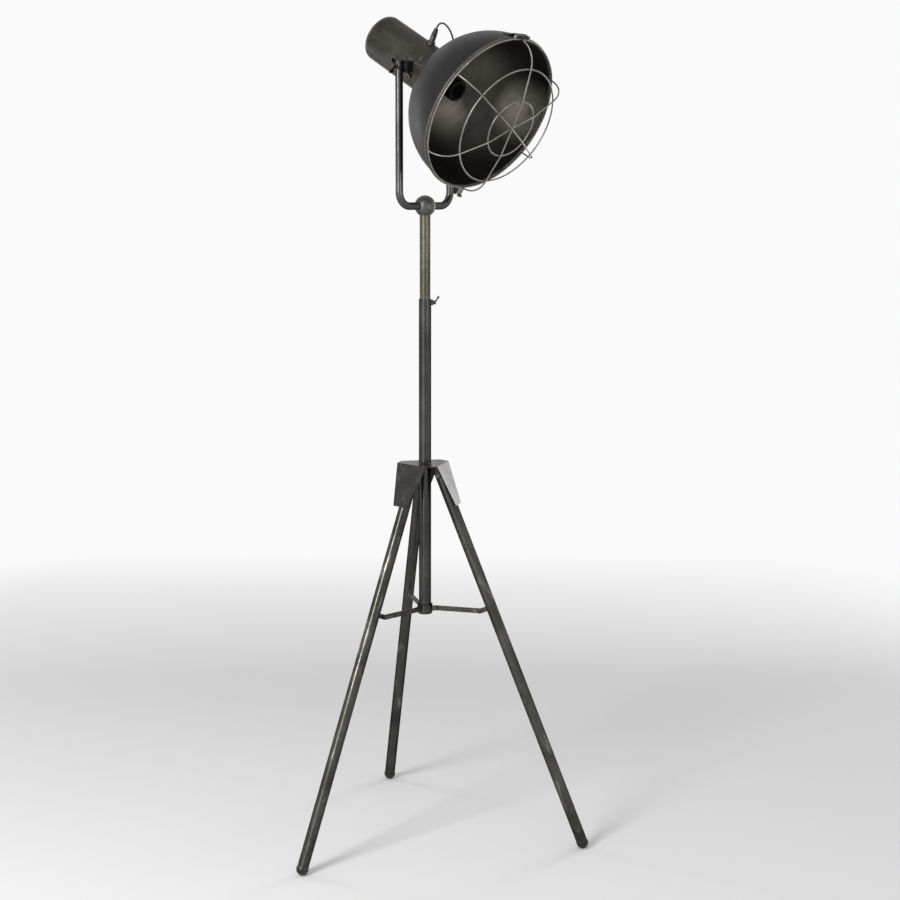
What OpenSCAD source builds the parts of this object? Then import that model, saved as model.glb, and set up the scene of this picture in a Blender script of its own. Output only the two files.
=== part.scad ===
// Tripod spotlight floor lamp with a caged dome reflector.
// Millimetres. +Z is up, the mast stands on x = 0, y = 0, and the feet rest on z = 0.
// The head tilts about X and faces -Y.

/* [Tripod] */
// Height of the hub plate's top above the floor
hub_top_z = 782; // [700:1:860]
// Thickness of the folded hub sheet
hub_t = 2; // [1.5:0.5:3]
// Width of each hub flap at its fold
flap_top_w = 84; // [70:1:95]
// Width of each hub flap at its lower edge
flap_low_w = 38; // [32:1:50]
// Length of each hub flap along its slope
flap_len = 88; // [60:1:110]
// Outer diameter of the legs
leg_d = 22.5; // [20:0.5:23]
// Wall of the leg tubes
leg_wall = 1.5; // [1:0.25:2.5]
// Angle of the open legs from the vertical
splay = 22; // [18:0.5:25]
// Distance of the leg hinges from the mast axis
hinge_r = 32; // [30:0.5:40]
// Drop of the leg hinges below the hub plate's top
hinge_drop = 22; // [18:0.5:30]
// Diameter of the leg hinge bolts
hinge_bolt_d = 6; // [4:0.5:8]
// Diameter of the ball feet
foot_d = 24.5; // [24:0.5:30]
// Depth of the flat where a ball foot meets the floor
foot_flat = 0.5; // [0.3:0.1:1]
// Turn of the first leg about the mast
tripod_turn = 58; // [0:1:119]

/* [Spreader] */
// Height of the spreader pivots above the floor, with the legs open
spreader_z = 481; // [440:1:540]
// Distance of the strips' inner pivots from the mast axis
collar_pivot_r = 21; // [20.5:0.5:24]
// Distance of the strips' outer pivots from the leg axis
tab_reach = 27; // [26:0.5:32]
// Height of the spreader strips
strip_h = 10; // [8:0.5:12]
// Thickness of the strips, their tabs and lugs
strip_t = 3; // [2:0.5:4]
// Diameter of the spreader rivets
rivet_d = 4; // [3:0.5:5]
// Height of the sliding collar
collar_h = 16; // [12:1:22]
// Outer diameter of the sliding collar
collar_d = 31; // [30:0.5:31.5]

/* [Mast] */
// Outer diameter of the lower mast
mast_d = 25; // [24:0.5:26]
// Wall of the lower mast
mast_wall = 1.5; // [1:0.25:2]
// Height of the lower mast's top above the floor
mast_top_z = 1114; // [1000:1:1160]
// Wall of the upper mast
upper_wall = 1.5; // [1:0.25:2.5]
// Length of the upper mast held inside the lower mast
upper_hold = 380; // [300:5:480]
// Thickness of the flange that stops the collar at the mast's end
end_flange_t = 3; // [2:0.5:5]
// Diameter of the cable outlet in the mast's end plug
outlet_d = 9; // [6:0.5:12]
// Diameter of the clamping screw at the top of the lower mast
clamp_screw_d = 5; // [4:0.5:6]
// Direction of the clamping screw about the mast
clamp_turn = -46; // [-180:1:180]

/* [Yoke] */
// Height of the knuckle ball's centre above the floor
ball_z = 1298; // [1240:1:1340]
// Diameter of the knuckle ball
ball_d = 42; // [38:1:48]
// Outer diameter of the yoke tube
yoke_d = 15; // [14:0.5:17]
// Wall of the yoke tube
yoke_wall = 1.5; // [1:0.25:2]
// Distance from the mast axis to the centre of each yoke arm
arm_x = 72; // [71:0.5:80]
// Radius of the yoke's bends along the tube centre
yoke_bend_r = 28; // [24:1:36]
// Height of the tilt axis above the floor
pivot_z = 1566; // [1540:1:1620]
// Height of the yoke arms above the tilt axis
arm_over = 9; // [8:0.5:14]
// Diameter of the wing screws
wing_screw_d = 6; // [5:0.5:8]
// Length of a wing screw's wings from tip to tip
wing_span = 30; // [24:1:36]

/* [Head] */
// Angle of the head below the horizontal
head_tilt = 28.8; // [0:0.2:38]
// Outer diameter of the lamp housing
housing_d = 94; // [80:1:98]
// Wall of the lamp housing
housing_wall = 1.5; // [1:0.25:2.5]
// Length of the housing behind the tilt axis
housing_back = 130; // [100:1:170]
// Distance from the tilt axis to the rim of the reflector
rim_a = 194; // [190:1:210]
// Outer radius of the reflector dome
dome_r = 154; // [148:1:156]
// Wall of the reflector dome
dome_wall = 1.2; // [0.8:0.1:2]
// Radius of the opening at the back of the dome
dome_hole_r = 25; // [24:0.5:30]
// Diameter of the rolled bead round the rim
bead_d = 6; // [4:0.5:7]
// Width of the pivot blocks on the housing's sides
block_w = 26; // [22:0.5:30]
// Height of the pivot blocks
block_h = 22.5; // [20:0.5:28]
// Diameter of the side screws' heads
side_head_d = 12; // [8:0.5:14]
// Distance of the lamp holder's front edge from the tilt axis
holder_front = 100; // [96:1:110]
// Outer diameter of the lamp holder's front skirt
holder_d = 44; // [40:0.5:46]
// Bore of the screw shell that takes the bulb
shell_bore = 26.6; // [26.6:0.1:27]
// Depth of the screw shell
shell_len = 26; // [20:1:30]

/* [Cage] */
// Diameter of the cage wires
wire_d = 3; // [2.5:0.25:3.5]
// Radius of the large ring
large_ring_r = 116; // [105:1:125]
// Distance of the large ring in front of the rim
large_ring_a = 53.5; // [45:0.5:65]
// Radius of the small ring
small_ring_r = 56.5; // [45:0.5:65]
// Distance of the small ring in front of the rim
small_ring_a = 64.2; // [60:0.2:75]
// Length of the cage's hinge barrel
barrel_len = 34; // [28:1:40]

/* [Lead] */
// Diameter of the lead between the housing and the yoke
lead_d = 3.6; // [3:0.2:4]
// Distance of the cable gland behind the tilt axis
gland_a = 8; // [4:1:14]
// Height of the cable gland over the housing
gland_h = 32; // [26:1:36]

/* [Hidden] */
$fn = 64;

iron = [0.20, 0.19, 0.17];
worn_iron = [0.27, 0.25, 0.22];
bronze = [0.36, 0.33, 0.30];
wire_grey = [0.50, 0.48, 0.45];
steel = [0.62, 0.62, 0.62];
brass = [0.72, 0.58, 0.30];
bakelite = [0.06, 0.06, 0.06];
rubber = [0.10, 0.10, 0.10];

legs = [0, 1, 2];
sides = [-1, 1];
seat_gap = 0.3;      // clearance of a piece from what it moves along or rests near
fit_gap = 0.05;      // radial running clearance of a pin in its hole
eps = 0.01;
over = 1;            // overshoot of a cut past the face it opens

// Tripod
hinge_z = hub_top_z - hinge_drop;
leg_r = leg_d / 2;
foot_r = foot_d / 2;
foot_z = foot_r - foot_flat;
leg_len = (hinge_z - foot_z) / cos(splay);
tube_end = leg_len - foot_r * 0.75;
foot_plug = 14;      // of the foot inside the leg tube
ear_t = 3;
ear_w = 13;
ear_y = leg_r + seat_gap;
// The flap's inner face runs parallel to the leg, one clearance outside it.
flap_in = hinge_r + (leg_r + seat_gap) / cos(splay)
    - (hinge_drop - hub_t) * tan(splay);
flap_fold_r = flap_in + hub_t / cos(splay) - hub_t * tan(splay);
weld_r = 2.5;
weld_in = 1;
nut_h = 5;
head_h = 4;

// Spreader
tab_s = (hinge_z - spreader_z - tab_reach * sin(splay)) / cos(splay);
outer_pivot_r = hinge_r + tab_s * sin(splay) - tab_reach * cos(splay);
strip_len = outer_pivot_r - collar_pivot_r;
plate_gap = seat_gap;
lug_y = strip_t / 2;
strip_y = lug_y + plate_gap;
rivet_head_d = rivet_d * 1.9;
rivet_head_h = 1.6;
collar_bore_r = mast_d / 2 + seat_gap;
collar_low_z = spreader_z - collar_h / 2;

// Mast
mast_r = mast_d / 2;
mast_low_z = collar_low_z - seat_gap;
upper_r = mast_r - mast_wall - seat_gap;
upper_low_z = mast_top_z - upper_hold;
ball_socket = 12;
knuckle_screw_drop = 12;
knuckle_screw_turn = -175;
knuckle_shank_r = 2;
knuckle_head_r = 3;
knuckle_head_h = 2;
knuckle_screw_x = sqrt(pow(ball_d / 2, 2) - pow(knuckle_screw_drop, 2));
upper_top_z = ball_z - ball_d / 2 + ball_socket;
clamp_drop = 7;
clamp_boss_d = 11;
clamp_boss_h = 4;

// Yoke
yoke_r = yoke_d / 2;
arm_top_z = pivot_z + arm_over;
cap_h = 4;
arm_in = arm_x - yoke_r;
arm_out = arm_x + yoke_r;
washer_t = 1.2;
wing_hub_d = 12;
wing_hub_h = 9;
wing_t = 3;

// Head, along its own axis: z forward, y up, x across
housing_r = housing_d / 2;
housing_in = housing_r - housing_wall;
boss_out = arm_in - washer_t - 2 * seat_gap;
screw_reach = housing_r + 4;
dome_in = dome_r - dome_wall;
bracket_a = 20;
bracket_t = 2;
bracket_skirt = 24;
reflector_screw_r = 36;
reflector_shank_r = 1.5;
post_d = 8;
post_top_a = rim_a - sqrt(pow(dome_r, 2) - pow(reflector_screw_r, 2));
pilot_a = bracket_a + bracket_t + 0.3 * (post_top_a - bracket_a - bracket_t);
cap_t = 1.5;
cap_lip = 10;
cap_crown = 5;
side_screw_a = 7;    // of the side screws in front of the tilt axis
side_screw_turn = 20; // below the tilt axis
slot_a = 15;
slot_turn = 33;
slot_w = 3;
slot_l = 8;
bead_r = bead_d / 2;
bead_ring_r = dome_r + 0.5;
holder_neck_r = 14;
socket_len = 34;
socket_a = holder_front - socket_len;
shell_t = 0.8;
shell_r = shell_bore / 2 + shell_t;
holder_bore_r = shell_r + fit_gap;
holder_plug = 6;      // of the holder's body inside its skirt
contact_r = 3;
side_shank_r = 1.5;

// Cage
wire_r = wire_d / 2;
hoop_a = bead_r + wire_r + seat_gap;
hoop_r = bead_ring_r;
wire_bite = 0.15;    // of the wires into each other where they are welded
spoke_root_a = hoop_a + wire_r - wire_bite;
barrel_wall = 1.2;
barrel_r = wire_r + fit_gap + barrel_wall;
hinge_pin_y = hoop_r + wire_r + barrel_r + seat_gap;
pad_t = 1.2;
pad_front = 11;      // of the pads' front edges behind the rim
pad_back = 27;
pad_rivet_back = 20;
pad_rivet_turn = 4;
pad_turn = 7;
pad_rivet_r = 1.5;
pad_rivet_head_r = 2.8;
pad_rivet_head_h = 1.4;
pad_rivet_tail_r = 2.4;
lug_t = 3;
lug_x = barrel_len / 2 + seat_gap;
spoke_turns = [30, 90, 150];
spoke_rise = wire_d + fit_gap;  // from one wire to the next where they cross
wire_steps = 10;
wire_sides = 16;

// Lock at the bottom of the rim: a tab on the cage, screwed to a bracket on the dome
lock_y = dome_r + 17;
lock_w = 9;
lock_root_w = 30;
lock_t = 2;
lock_bracket_a = -5;  // of the bracket's front face from the rim
lock_screw_r = 1.6;
lock_knob_r = 2.7;
lock_slack = 0.3;     // round the screw's tip, which swings out with the cage

// Gland and lead
gland_foot_r = 8.5;
gland_foot_h = 5;
gland_body_r = 5.8;
gland_tip_r = 4.2;
gland_stem_r = 5;
nipple_r = 5;
reflector_screw_turns = [90, 210, 330];
gland_tip_y = housing_r + gland_h;

// Lead from inside the gland, over and down into the grommet on the far yoke arm
lead_points = [
    [0, -29, 1635.4], [0, -32.5, 1641.7], [2, -34.2, 1646], [7, -34.6, 1649],
    [13.5, -33.8, 1650], [20.5, -32.3, 1649.6], [27.5, -30.5, 1647.6],
    [34.5, -28.8, 1644.2], [41.5, -27.2, 1639.4], [48, -25.4, 1633.4],
    [54, -23.2, 1626.4], [59.5, -20.4, 1618.8], [64, -16.8, 1610.8],
    [67.6, -12.4, 1602.6], [70.2, -7.6, 1594.8], [71.6, -3.2, 1588],
    [72, -0.6, 1582], [72, 0, 1576]
];
lead_sides = 8;

// ---- placing ----

module at_leg(i) {
    rotate([0, 0, tripod_turn + 120 * i]) children();
}

// z runs down the leg from its hinge, and x points from the leg towards the mast
module along_leg(i) {
    at_leg(i) translate([hinge_r, 0, hinge_z]) rotate([0, 180 - splay, 0]) children();
}

module in_head() {
    translate([0, 0, pivot_z]) rotate([90 + head_tilt, 0, 0]) children();
}

// A bar along X between two places
module x_rod(r, x0, x1) {
    translate([x0, 0, 0]) rotate([0, 90, 0]) cylinder(r = r, h = x1 - x0);
}

// A bar along Y between two places
module y_rod(r, y0, y1) {
    translate([0, y1, 0]) rotate([90, 0, 0]) cylinder(r = r, h = y1 - y0);
}

module tube(r_out, r_in, h) {
    difference() {
        cylinder(r = r_out, h = h);
        translate([0, 0, -over]) cylinder(r = r_in, h = h + 2 * over);
    }
}

module torus(ring_r, r) {
    rotate_extrude() translate([ring_r, 0]) circle(r = r, $fn = 32);
}

// A flat link with round ends, drawn in X and Z and thick along Y
module link(len, w, t) {
    rotate([90, 0, 0]) translate([0, 0, -t]) linear_extrude(t) {
        circle(d = w);
        translate([0, -w / 2]) square([len, w]);
        translate([len, 0]) circle(d = w);
    }
}

// ---- tripod ----

module hub_plate() {
    r = flap_fold_r - weld_in;
    half = flap_top_w / 2 - weld_in;
    corners = [for (i = legs, s = sides)
        let(a = tripod_turn + 120 * i)
        [r * cos(a) - s * half * sin(a), r * sin(a) + s * half * cos(a)]];
    translate([0, 0, hub_top_z - hub_t]) linear_extrude(hub_t) polygon(corners);
}

// One flap with its strip of the plate, bent at the fold and tapered to its lower edge
module flap() {
    run = flap_len * sin(splay);
    drop = flap_len * cos(splay);
    half = flap_top_w / 2;
    low = flap_low_w / 2;
    translate([0, 0, hub_top_z]) intersection() {
        rotate([90, 0, 0]) linear_extrude(flap_top_w + 2, center = true)
            polygon([[hub_t, 0], [flap_fold_r, 0], [flap_fold_r + run, -drop],
                [flap_fold_r + run - hub_t * cos(splay), -drop - hub_t * sin(splay)],
                [flap_in, -hub_t], [hub_t, -hub_t]]);
        rotate([90, 0, 90]) linear_extrude(flap_fold_r + run + over)
            polygon([[-half, over], [half, over], [half, 0], [low, -drop],
                [low, -drop - 2 * hub_t], [-low, -drop - 2 * hub_t], [-low, -drop], [-half, 0]]);
    }
}

// An ear under the plate, cut to the slope of the flap it is welded to
module ear(s) {
    half = ear_w / 2;
    top = hinge_drop - hub_t + weld_in;
    slope_x = (leg_r + seat_gap) / cos(splay) + weld_in;
    translate([hinge_r, s * (ear_y + ear_t / 2), hinge_z]) rotate([90, 0, 0])
        translate([0, 0, -ear_t / 2]) linear_extrude(ear_t) difference() {
            union() {
                circle(r = half);
                polygon([[-half, 0], [half, 0], [half, (slope_x - half) / tan(splay)],
                    [slope_x - top * tan(splay), top], [-half, top]]);
            }
            circle(d = hinge_bolt_d + 2 * fit_gap);
        }
}

module hub_bracket() {
    color(iron) difference() {
        union() {
            hub_plate();
            for (i = legs) at_leg(i) {
                flap();
                for (s = sides) ear(s);
            }
            // Fillet weld round the mast
            translate([0, 0, hub_top_z - weld_in])
                cylinder(r1 = mast_r + weld_r + weld_in, r2 = mast_r, h = weld_r + weld_in);
        }
        translate([0, 0, hub_top_z - hub_t - over])
            cylinder(r = mast_r + fit_gap, h = hub_t + weld_r + 2 * over);
    }
}

module leg_hinge_bolts() {
    reach = ear_y + ear_t;
    color(worn_iron) for (i = legs) at_leg(i) translate([hinge_r, 0, hinge_z]) {
        y_rod(hinge_bolt_d / 2, -reach - nut_h - 2, reach + eps);
        translate([0, reach + head_h, 0]) rotate([90, 0, 0])
            cylinder(d = hinge_bolt_d * 1.8, h = head_h, $fn = 6);
    }
}

module leg_hinge_nuts() {
    reach = ear_y + ear_t;
    color(worn_iron) for (i = legs) at_leg(i) translate([hinge_r, 0, hinge_z]) difference() {
        translate([0, -reach, 0]) rotate([90, 0, 0])
            cylinder(d = hinge_bolt_d * 1.8, h = nut_h, $fn = 6);
        y_rod(hinge_bolt_d / 2 + fit_gap, -reach - nut_h - over, -reach + over);
    }
}

module leg(i) {
    color(iron) along_leg(i) difference() {
        union() {
            sphere(r = leg_r);
            cylinder(r = leg_r, h = tube_end);
        }
        translate([0, 0, leg_r]) cylinder(r = leg_r - leg_wall, h = leg_len);
        y_rod(hinge_bolt_d / 2 + fit_gap, -leg_r - over, leg_r + over);
    }
}

// Tab welded to the inside of the leg, with the rivet's flat tail on it
module leg_tab(i) {
    color(iron) along_leg(i) difference() {
        translate([tab_reach, 0, tab_s]) union() {
            rotate([0, 180, 0]) translate([0, -lug_y, 0])
                link(tab_reach - leg_r, strip_h, strip_t);
            y_rod(rivet_head_d / 2, -lug_y - rivet_head_h, -lug_y);
        }
        translate([0, 0, tab_s - strip_h]) cylinder(r = leg_r + fit_gap, h = 2 * strip_h);
    }
}

module foot(i) {
    color(worn_iron) difference() {
        along_leg(i) translate([0, 0, leg_len]) {
            sphere(r = foot_r);
            translate([0, 0, tube_end - leg_len + fit_gap])
                cylinder(r = leg_r, h = leg_len - tube_end);
            translate([0, 0, tube_end - leg_len - foot_plug])
                cylinder(r = leg_r - leg_wall - fit_gap, h = foot_plug + weld_in);
        }
        translate([0, 0, -hub_top_z]) cylinder(r = hub_top_z, h = hub_top_z);
    }
}

// ---- spreader ----

module spreader_collar() {
    lug_in = sqrt(pow(collar_d / 2, 2) - pow(lug_y, 2)) - 1;
    color(iron) difference() {
        union() {
            translate([0, 0, collar_low_z]) cylinder(d = collar_d, h = collar_h);
            for (i = legs) at_leg(i)
                translate([collar_pivot_r, -lug_y, spreader_z])
                    mirror([1, 0, 0]) link(collar_pivot_r - lug_in, strip_h, strip_t);
        }
        translate([0, 0, collar_low_z - over])
            cylinder(r = collar_bore_r, h = collar_h + 2 * over);
    }
}

// Rivets on the collar's lugs: a head, a shank through the strip and a tail
module collar_rivets() {
    color(worn_iron) for (i = legs) at_leg(i) translate([collar_pivot_r, 0, spreader_z]) {
        y_rod(rivet_d / 2, lug_y + fit_gap, strip_y + strip_t + fit_gap + eps);
        y_rod(rivet_head_d / 2, strip_y + strip_t + fit_gap,
            strip_y + strip_t + fit_gap + rivet_head_h);
    }
}

module spreader_strip(i) {
    color(iron) at_leg(i) translate([collar_pivot_r, strip_y, spreader_z]) difference() {
        link(strip_len, strip_h, strip_t);
        y_rod(rivet_d / 2 + fit_gap, -over, strip_t + over);
    }
}

// Outer rivet's head, on the strip where it crosses the leg's tab
module strip_rivet(i) {
    color(worn_iron) at_leg(i)
        translate([outer_pivot_r, 0, spreader_z])
            y_rod(rivet_head_d / 2, strip_y + strip_t, strip_y + strip_t + rivet_head_h);
}

// ---- mast ----

module clamp_hole(r, x0, x1) {
    rotate([0, 0, clamp_turn]) translate([0, 0, mast_top_z - clamp_drop]) x_rod(r, x0, x1);
}

module lower_mast() {
    color(iron) difference() {
        translate([0, 0, mast_low_z]) cylinder(r = mast_r, h = mast_top_z - mast_low_z);
        translate([0, 0, mast_low_z - over])
            cylinder(r = mast_r - mast_wall, h = mast_top_z - mast_low_z + 2 * over);
        clamp_hole(clamp_screw_d / 2 + fit_gap, 0, mast_r + over);
    }
}

module clamp_boss() {
    color(iron) difference() {
        clamp_hole(clamp_boss_d / 2, mast_r - 2, mast_r + clamp_boss_h);
        translate([0, 0, mast_top_z - 2 * clamp_drop - clamp_boss_d])
            cylinder(r = mast_r + fit_gap, h = 2 * clamp_boss_d + 2 * clamp_drop);
        clamp_hole(clamp_screw_d / 2 + fit_gap, 0, mast_r + 2 * clamp_boss_h);
    }
}

// Thumb screw with a small turned-up lever
module clamp_screw() {
    tip = upper_r + fit_gap;
    hub_x = mast_r + clamp_boss_h + seat_gap;
    color(worn_iron) rotate([0, 0, clamp_turn])
        translate([0, 0, mast_top_z - clamp_drop]) {
            x_rod(clamp_screw_d / 2, tip, hub_x + eps);
            x_rod(clamp_screw_d * 0.8, hub_x, hub_x + 5);
            translate([hub_x + 2.5, 0, 0]) rotate([0, 35, 0]) {
                cylinder(r = 1.6, h = 13);
                translate([0, 0, 13]) sphere(r = 2.4);
            }
        }
}

module mast_end_plug() {
    in_r = mast_r - mast_wall - fit_gap;
    color(rubber) difference() {
        union() {
            translate([0, 0, mast_low_z - end_flange_t])
                cylinder(r = collar_bore_r + 1.5, h = end_flange_t);
            translate([0, 0, mast_low_z - eps]) cylinder(r = in_r, h = 12);
        }
        translate([0, 0, mast_low_z - end_flange_t - over])
            cylinder(d = outlet_d, h = end_flange_t + 12 + 2 * over);
    }
}

module upper_mast() {
    color(bronze) translate([0, 0, upper_low_z])
        tube(upper_r, upper_r - upper_wall, upper_top_z - upper_low_z);
}

// ---- yoke ----

module knuckle_ball() {
    color(iron) difference() {
        translate([0, 0, ball_z]) sphere(d = ball_d);
        translate([0, 0, upper_top_z - 2 * ball_socket + fit_gap])
            cylinder(r = upper_r + fit_gap, h = 2 * ball_socket);
        translate([0, 0, ball_z]) x_rod(yoke_r + fit_gap, -ball_d, ball_d);
        knuckle_screw_axis() {
            x_rod(knuckle_shank_r + fit_gap, upper_r, ball_d);
            x_rod(knuckle_head_r + fit_gap, knuckle_screw_x - knuckle_head_h, ball_d);
        }
    }
}

module knuckle_screw_axis() {
    translate([0, 0, ball_z - knuckle_screw_drop]) rotate([0, 0, knuckle_screw_turn]) children();
}

// Slotted screw that locks the ball on the upper mast
module knuckle_screw() {
    color(worn_iron) knuckle_screw_axis() difference() {
        union() {
            x_rod(knuckle_shank_r, upper_r + fit_gap, knuckle_screw_x);
            x_rod(knuckle_head_r, knuckle_screw_x - knuckle_head_h + fit_gap,
                knuckle_screw_x + 1);
        }
        translate([knuckle_screw_x - 0.4, -0.5, -4]) cube([2, 1, 8]);
    }
}

module yoke_path_bend(s) {
    translate([s * (arm_x - yoke_bend_r), 0, ball_z + yoke_bend_r]) rotate([90, 0, 0])
        rotate([0, 0, s > 0 ? 270 : 180])
            rotate_extrude(angle = 90) translate([yoke_bend_r, 0]) children();
}

module yoke_solid(r) {
    run = arm_x - yoke_bend_r;
    translate([0, 0, ball_z]) x_rod(r, -run, run);
    for (s = sides) {
        yoke_path_bend(s) circle(r = r);
        translate([s * arm_x, 0, ball_z + yoke_bend_r])
            cylinder(r = r, h = arm_top_z - ball_z - yoke_bend_r);
    }
}

module yoke_tube() {
    color(iron) difference() {
        yoke_solid(yoke_r);
        yoke_solid(yoke_r - yoke_wall);
        translate([0, 0, pivot_z]) x_rod(wing_screw_d / 2 + fit_gap, -arm_out - over, arm_out + over);
        for (s = sides) translate([s * arm_x, 0, arm_top_z - eps])
            cylinder(r = yoke_r - yoke_wall, h = 2);
    }
}

module arm_end(s, hole_r) {
    in_r = yoke_r - yoke_wall - fit_gap;
    translate([s * arm_x, 0, arm_top_z]) difference() {
        union() {
            translate([0, 0, -5]) cylinder(r = in_r, h = 5 + eps);
            cylinder(r1 = yoke_r, r2 = yoke_r - 2, h = cap_h);
        }
        translate([0, 0, -5 - over]) cylinder(r = hole_r, h = cap_h + 5 + 2 * over);
    }
}

module yoke_cap() {
    color(iron) arm_end(-1, 1);
}

module lead_grommet() {
    color(rubber) arm_end(1, lead_d / 2 + seat_gap);
}

// Wing screw, drawn for the right arm with its tip towards the head
module wing_screw() {
    hub_x = arm_out + washer_t + 2 * seat_gap;
    half = wing_span / 2;
    x_rod(wing_screw_d / 2, screw_reach, hub_x + eps);
    translate([hub_x, 0, 0]) rotate([0, 90, 0])
        cylinder(d1 = wing_hub_d, d2 = wing_hub_d - 3, h = wing_hub_h);
    for (s = sides)
        translate([hub_x, 0, 0]) rotate([90, 0, 0]) linear_extrude(wing_t, center = true)
            polygon([[1, s * 2], [1, s * 5], [6, s * (half - 3)], [11, s * half],
                [15, s * (half - 1)], [16, s * (half - 5)], [wing_hub_h - 1, s * 3],
                [wing_hub_h - 1, s * 2]]);
}

module wing_screw_right() {
    color(worn_iron) translate([0, 0, pivot_z]) rotate([12, 0, 0]) wing_screw();
}

module wing_screw_left() {
    color(worn_iron) translate([0, 0, pivot_z]) rotate([12, 0, 0]) mirror([1, 0, 0]) wing_screw();
}

module washer(x) {
    translate([x, 0, pivot_z]) rotate([0, 90, 0])
        tube(wing_screw_d + 1.5, wing_screw_d / 2 + fit_gap, washer_t);
}

module pivot_washers() {
    color(steel) for (s = sides) {
        washer(s > 0 ? boss_out + seat_gap : -boss_out - seat_gap - washer_t);
        washer(s > 0 ? arm_out + seat_gap : -arm_out - seat_gap - washer_t);
    }
}

// ---- head ----

// Turned to stand on the dome: x points outward, some degrees behind the rim
module on_dome(turn, back) {
    translate([0, 0, rim_a]) rotate([0, 0, turn]) rotate([0, back, 0]) children();
}

module side_screw_holes(r) {
    for (s = sides) translate([0, 0, side_screw_a]) mirror([s > 0 ? 0 : 1, 0, 0])
        rotate([0, 0, -side_screw_turn]) x_rod(r, housing_in - 4, housing_r + over);
}

module vent_slots() {
    for (s = sides) mirror([s > 0 ? 0 : 1, 0, 0]) rotate([0, 0, slot_turn])
        translate([housing_in - 4, 0, slot_a]) rotate([0, 90, 0]) linear_extrude(8) {
            translate([-slot_w / 2, -slot_l / 2]) square([slot_w, slot_l]);
            for (e = sides) translate([0, e * slot_l / 2]) circle(d = slot_w);
        }
}

module gland_bore(r) {
    translate([0, 0, -gland_a]) rotate([-90, 0, 0]) cylinder(r = r, h = housing_d);
}

module lamp_housing() {
    color(bronze) in_head() difference() {
        translate([0, 0, -housing_back]) cylinder(r = housing_r, h = housing_back + rim_a / 2);
        translate([0, 0, -housing_back - over])
            cylinder(r = housing_in, h = housing_back + rim_a);
        translate([0, 0, rim_a]) sphere(r = dome_r + fit_gap, $fn = 128);
        gland_bore(gland_stem_r + fit_gap);
        side_screw_holes(side_shank_r + fit_gap);
        vent_slots();
    }
}

module pivot_blocks() {
    round_r = 3;
    color(iron) translate([0, 0, pivot_z]) for (s = sides) mirror([s > 0 ? 0 : 1, 0, 0])
        difference() {
            translate([housing_r - 6, 0, 0]) rotate([90, 0, 90])
                linear_extrude(boss_out - housing_r + 6) {
                    square([block_w - 2 * round_r, block_h], center = true);
                    square([block_w, block_h - 2 * round_r], center = true);
                    for (a = sides, b = sides)
                        translate([a * (block_w / 2 - round_r), b * (block_h / 2 - round_r)])
                            circle(r = round_r);
                }
            rotate([90 + head_tilt, 0, 0]) translate([0, 0, -housing_d])
                cylinder(r = housing_r + fit_gap, h = 2 * housing_d, $fn = 128);
            x_rod(wing_screw_d / 2 + fit_gap, housing_r - 10, boss_out + over);
        }
}

// Pressed lid with a skirt inside the housing
module housing_end_cap() {
    out = housing_r - 0.4;
    skirt = housing_in - fit_gap;
    color(bronze) in_head() translate([0, 0, -housing_back]) rotate_extrude()
        polygon([[0, -cap_crown], [skirt - 24, -cap_crown + 0.8], [skirt - 10, -cap_crown + 2.4],
            [out - 2, -cap_t - 0.4], [out, -cap_t], [out, -fit_gap], [skirt, -fit_gap],
            [skirt, cap_lip], [skirt - cap_t, cap_lip], [skirt - cap_t, 0],
            [skirt - 10, -cap_crown + 2.4 + cap_t], [skirt - 24, -cap_crown + 0.8 + cap_t],
            [0, -cap_crown + cap_t]]);
}

// Pressed cup that carries the lamp holder, with posts for the reflector
module holder_bracket() {
    skirt = housing_in - fit_gap;
    color(steel) in_head() difference() {
        union() {
            translate([0, 0, bracket_a]) cylinder(r = skirt, h = bracket_t);
            translate([0, 0, bracket_a + bracket_t - bracket_skirt])
                tube(skirt, skirt - bracket_t, bracket_skirt);
            for (a = reflector_screw_turns) rotate([0, 0, a])
                translate([reflector_screw_r, 0, bracket_a + bracket_t - eps])
                    cylinder(d = post_d, h = 2 * (post_top_a - bracket_a));
        }
        translate([0, 0, rim_a]) sphere(r = dome_r + fit_gap, $fn = 128);
        translate([0, 0, bracket_a - over])
            cylinder(r = nipple_r + fit_gap, h = bracket_t + 2 * over);
        for (a = reflector_screw_turns) rotate([0, 0, a])
            translate([reflector_screw_r, 0, pilot_a])
                cylinder(r = reflector_shank_r + fit_gap, h = rim_a);
        side_screw_holes(side_shank_r + fit_gap);
        gland_bore(gland_stem_r + 4);
    }
}

module side_screws() {
    color(worn_iron) in_head() for (s = sides) translate([0, 0, side_screw_a])
        mirror([s > 0 ? 0 : 1, 0, 0]) rotate([0, 0, -side_screw_turn]) {
            x_rod(side_shank_r, housing_in - 3, housing_r + 1);
            difference() {
                x_rod(side_head_d / 2, housing_r - 1, housing_r + 3);
                translate([0, 0, -side_head_d])
                    rotate([0, 0, side_screw_turn])
                        cylinder(r = housing_r + fit_gap, h = 2 * side_head_d, $fn = 128);
                translate([housing_r + 1.8, 0, 0]) rotate([0, 90, 0])
                    cylinder(d = 5, h = 4, $fn = 6);
            }
        }
}

// Spun dome, open at the back for the lamp holder
module reflector_dome() {
    color(iron) in_head() difference() {
        translate([0, 0, rim_a]) {
            rotate_extrude($fn = 128) intersection() {
                difference() {
                    circle(r = dome_r, $fn = 128);
                    circle(r = dome_in, $fn = 128);
                }
                translate([dome_hole_r, -dome_r - over]) square([dome_r, dome_r + over]);
            }
        }
        for (a = reflector_screw_turns) rotate([0, 0, a])
            translate([reflector_screw_r, 0, 0])
                cylinder(r = reflector_shank_r + fit_gap, h = rim_a / 2);
        rivet_places() pad_rivet_hole();
    }
}

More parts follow.
